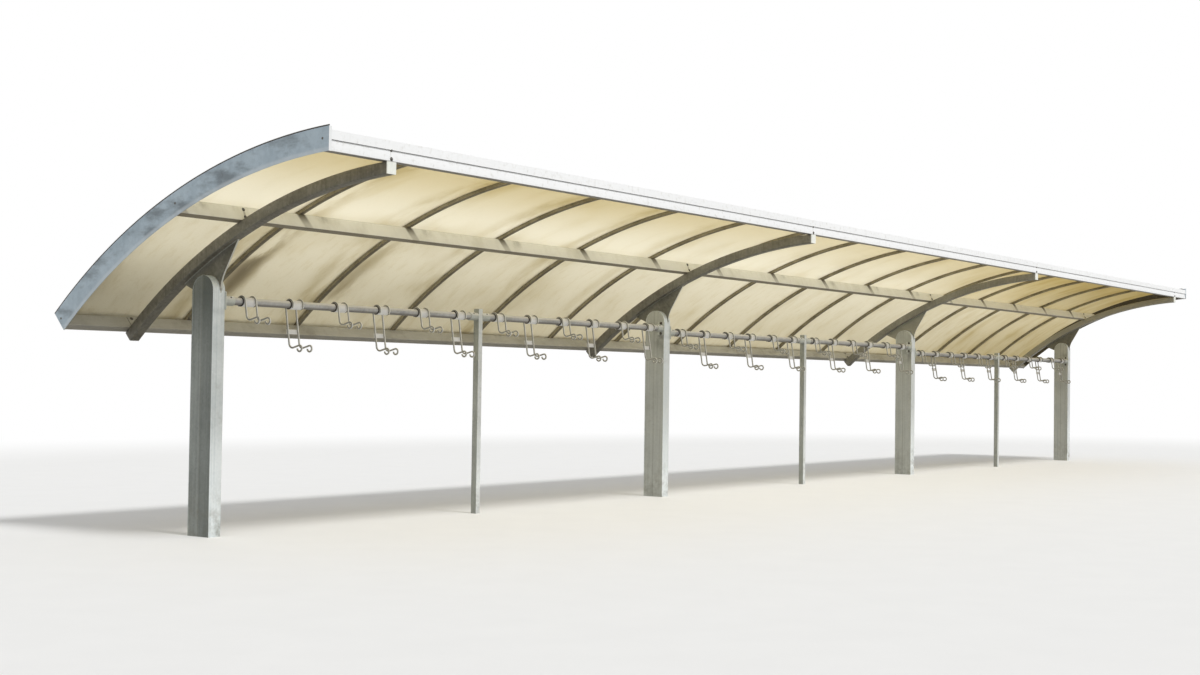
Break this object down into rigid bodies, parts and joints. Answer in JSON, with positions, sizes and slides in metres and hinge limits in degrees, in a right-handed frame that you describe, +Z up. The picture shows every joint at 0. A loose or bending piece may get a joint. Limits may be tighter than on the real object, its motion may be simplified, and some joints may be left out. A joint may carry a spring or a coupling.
{
  "type": "bicycle shelter",
  "caption": "Open bicycle shelter: a curved translucent roof held forward of a row of posts, with a rail of short and long wire hooks for handlebars.",
  "frame": {"origin": "middle of the first post's foot, at the lowest level of the ground that the posts go into", "axes": "+X along the shelter from the first post to the last, +Y to the low rear of the roof, +Z up"},
  "size_m": [16, 2.3468, 2.3399],
  "materials": {
    "galvanised_steel": "hot dip galvanised, dull and mottled",
    "aluminium": "mill finish, weathered",
    "roof_sheet": "translucent cream sheet with brown dirt along the bars",
    "zinc_wire": "bright zinc plated wire and plate"
  },
  "bodies": {
    "root": {"beam_end_caps": "galvanised_steel", "far_end_plate": "galvanised_steel", "front_edge_trim": "aluminium", "front_purlin": "galvanised_steel", "glazing_bars_1": "aluminium", "glazing_bars_2": "aluminium", "glazing_bars_3": "aluminium", "glazing_caps_1": "aluminium", "glazing_caps_2": "aluminium", "glazing_caps_3": "aluminium", "gusset_1": "galvanised_steel", "gusset_2": "galvanised_steel", "gusset_3": "galvanised_steel", "gusset_4": "galvanised_steel", "hook_rail_1": "galvanised_steel", "hook_rail_2": "galvanised_steel", "hook_rail_3": "galvanised_steel", "long_hooks_1": "zinc_wire", "long_hooks_2": "zinc_wire", "long_hooks_3": "zinc_wire", "middle_purlin": "galvanised_steel", "near_end_plate": "galvanised_steel", "post_1": "galvanised_steel", "post_2": "galvanised_steel", "post_3": "galvanised_steel", "post_4": "galvanised_steel", "purlin_cleats": "galvanised_steel", "rail_collars": "galvanised_steel", "rail_end_flanges": "galvanised_steel", "rear_edge_trim": "aluminium", "rear_purlin": "galvanised_steel", "roof_beam_1": "galvanised_steel", "roof_beam_2": "galvanised_steel", "roof_beam_3": "galvanised_steel", "roof_beam_4": "galvanised_steel", "roof_sheets_1": "roof_sheet", "roof_sheets_2": "roof_sheet", "roof_sheets_3": "roof_sheet", "roof_sheets_4": "roof_sheet", "short_hooks_1": "zinc_wire", "short_hooks_2": "zinc_wire", "short_hooks_3": "zinc_wire", "thin_post_1": "galvanised_steel", "thin_post_2": "galvanised_steel", "thin_post_3": "galvanised_steel"}
  },
  "joints": []
}
